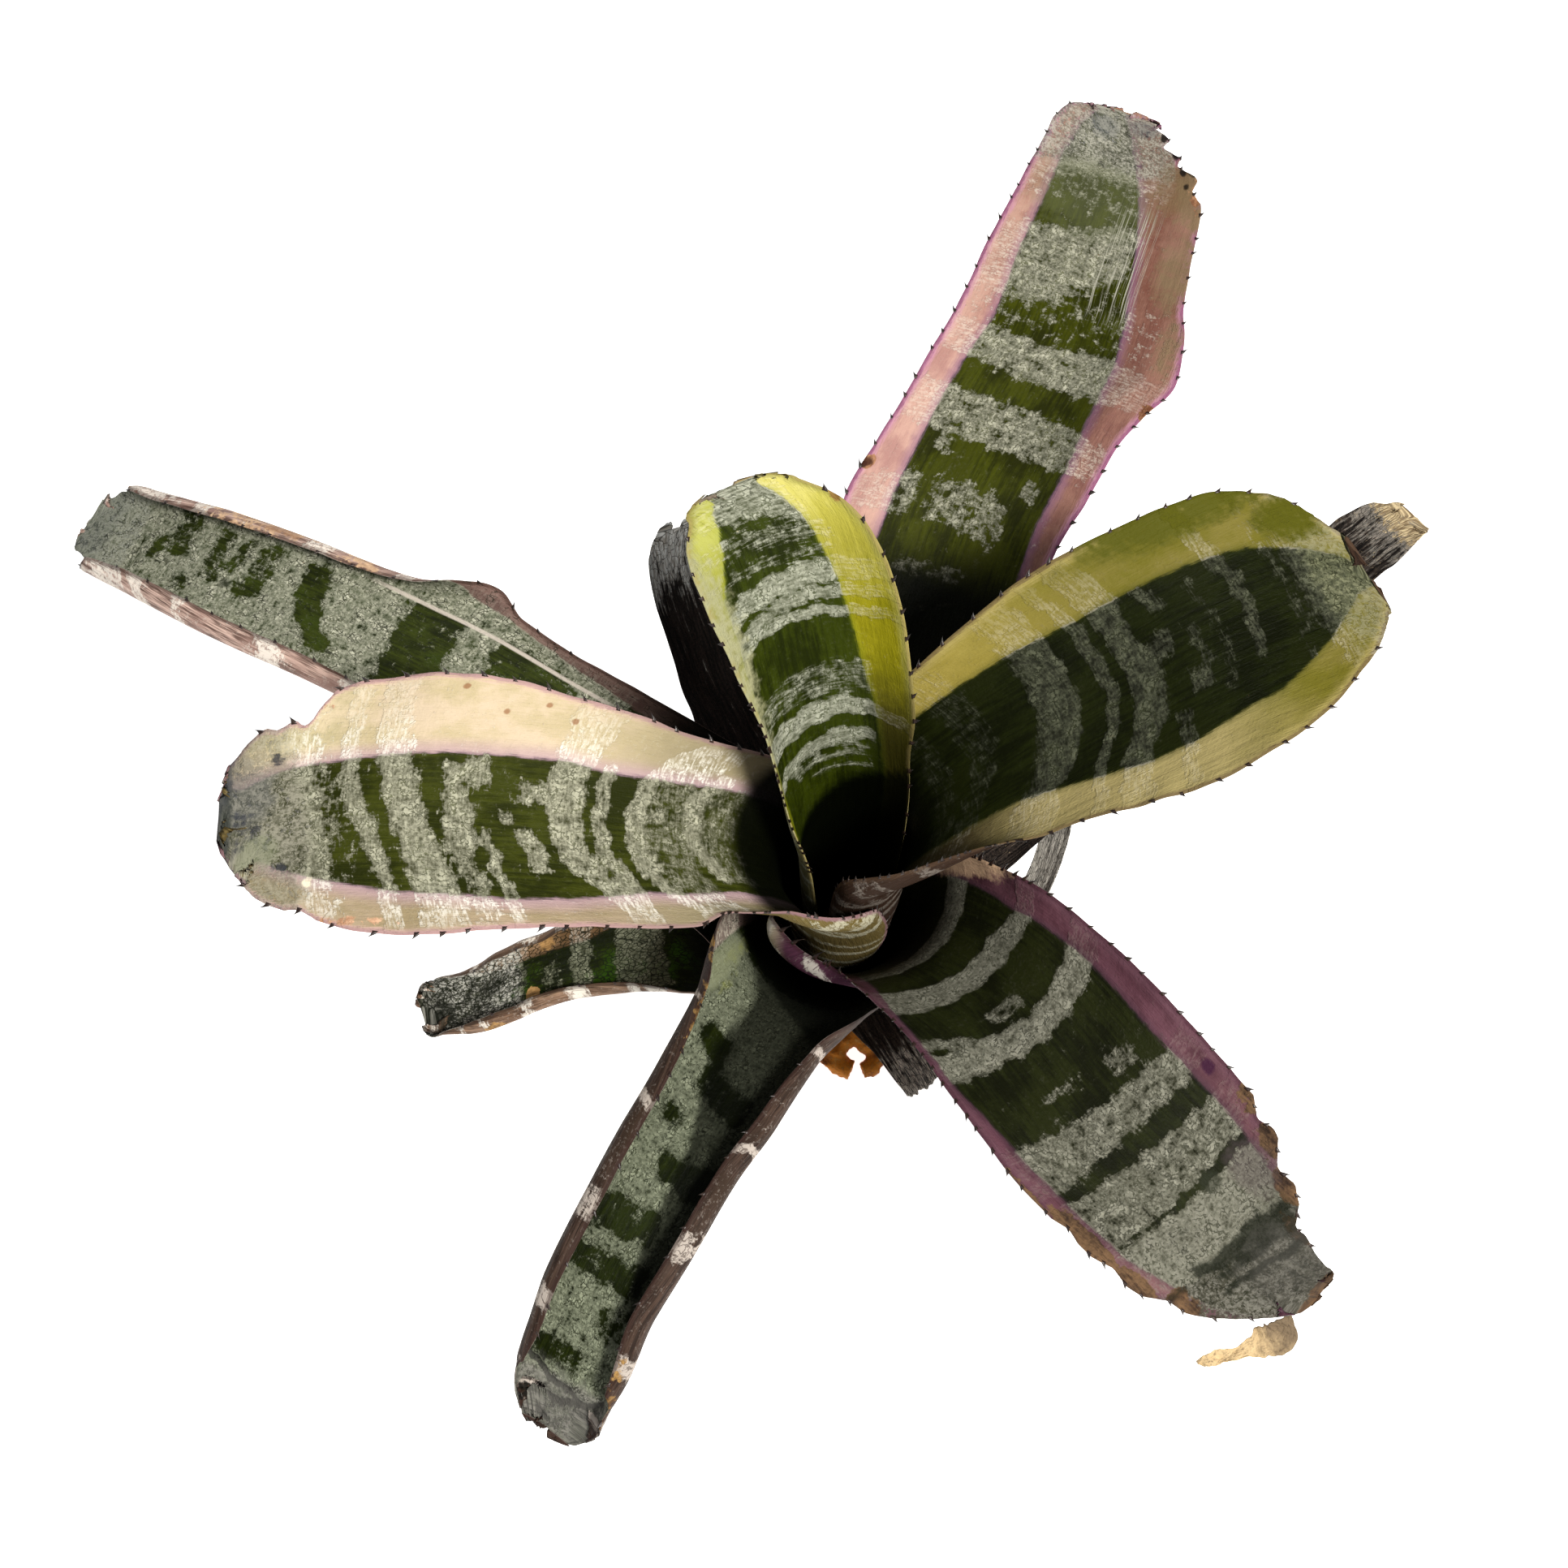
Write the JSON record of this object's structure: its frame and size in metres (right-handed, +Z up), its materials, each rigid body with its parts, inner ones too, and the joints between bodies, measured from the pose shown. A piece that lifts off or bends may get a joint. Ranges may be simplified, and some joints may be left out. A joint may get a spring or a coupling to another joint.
{
  "type": "urn plant",
  "caption": "Bare-rooted bromeliad rosette: broad silver-banded, spine-edged strap leaves with pale margins arching from an urn of nested sheaths, on a short stem and a clump of roots",
  "frame": {"origin": "centre of the flat underside of the root clump, on the rosette's upright axis", "axes": "Z up along the rosette axis; X to the right and Y away from the viewer when the rosette is seen from its front and above"},
  "size_m": [0.4595, 0.4322, 0.2272],
  "materials": {
    "leaf_upright_inner_tissue": "banded waxy leaf",
    "leaf_right_tissue": "banded waxy leaf",
    "leaf_left_tissue": "banded waxy leaf",
    "leaf_lower_right_tissue": "banded waxy leaf",
    "leaf_upper_right_tissue": "banded waxy leaf",
    "leaf_lower_tissue": "banded waxy leaf",
    "leaf_far_left_tissue": "banded waxy leaf",
    "withered_leaf_left_tissue": "banded waxy leaf",
    "dried_leaf_back_tissue": "dry papery leaf",
    "dried_leaf_right_tissue": "dry papery leaf",
    "dried_leaf_bent_tissue": "dry papery leaf",
    "dried_leaf_stub_tissue": "dry papery leaf",
    "stem_bark": "rough",
    "root_skin": "fibrous"
  },
  "bodies": {
    "root": {"leaf_upright_inner": "leaf_upright_inner_tissue", "leaf_right": "leaf_right_tissue", "leaf_left": "leaf_left_tissue", "leaf_lower_right": "leaf_lower_right_tissue", "leaf_upper_right": "leaf_upper_right_tissue", "leaf_lower": "leaf_lower_tissue", "leaf_far_left": "leaf_far_left_tissue", "withered_leaf_left": "withered_leaf_left_tissue", "dried_leaf_back": "dried_leaf_back_tissue", "dried_leaf_right": "dried_leaf_right_tissue", "dried_leaf_bent": "dried_leaf_bent_tissue", "dried_leaf_stub": "dried_leaf_stub_tissue", "stem": "stem_bark", "root_clump": "root_skin"}
  },
  "joints": []
}
